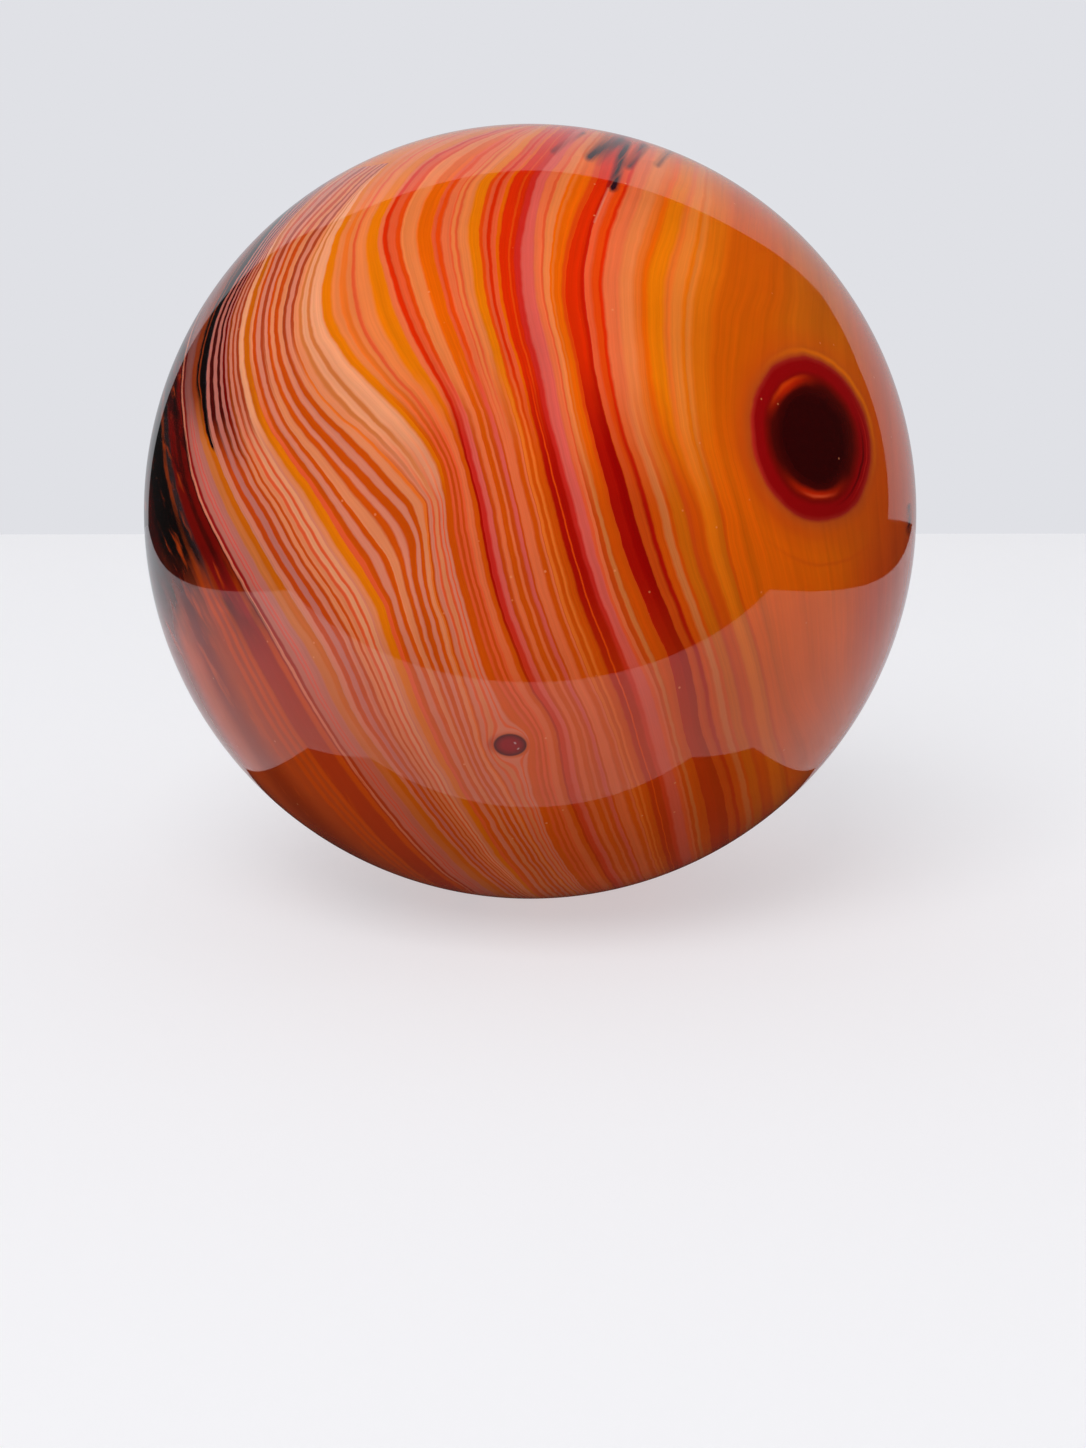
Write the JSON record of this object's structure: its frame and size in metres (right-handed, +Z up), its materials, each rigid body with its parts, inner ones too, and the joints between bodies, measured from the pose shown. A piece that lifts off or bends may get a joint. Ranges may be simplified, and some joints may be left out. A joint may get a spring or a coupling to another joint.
{
  "type": "sardonyx sphere",
  "caption": "Solid polished ball of red, orange and pale banded sardonyx, a desk ornament that sits in a ring or dish stand.",
  "frame": {"origin": "centre of the ball", "axes": "+Z up; -Y is the face with the bands seen square on; the stone's layers follow one another from -X, the dark end, to +X, the amber end with the eye"},
  "size_m": [0.062, 0.062, 0.062],
  "materials": {
    "banded_stone": "polished"
  },
  "bodies": {
    "root": {"sphere": "banded_stone"}
  },
  "joints": []
}
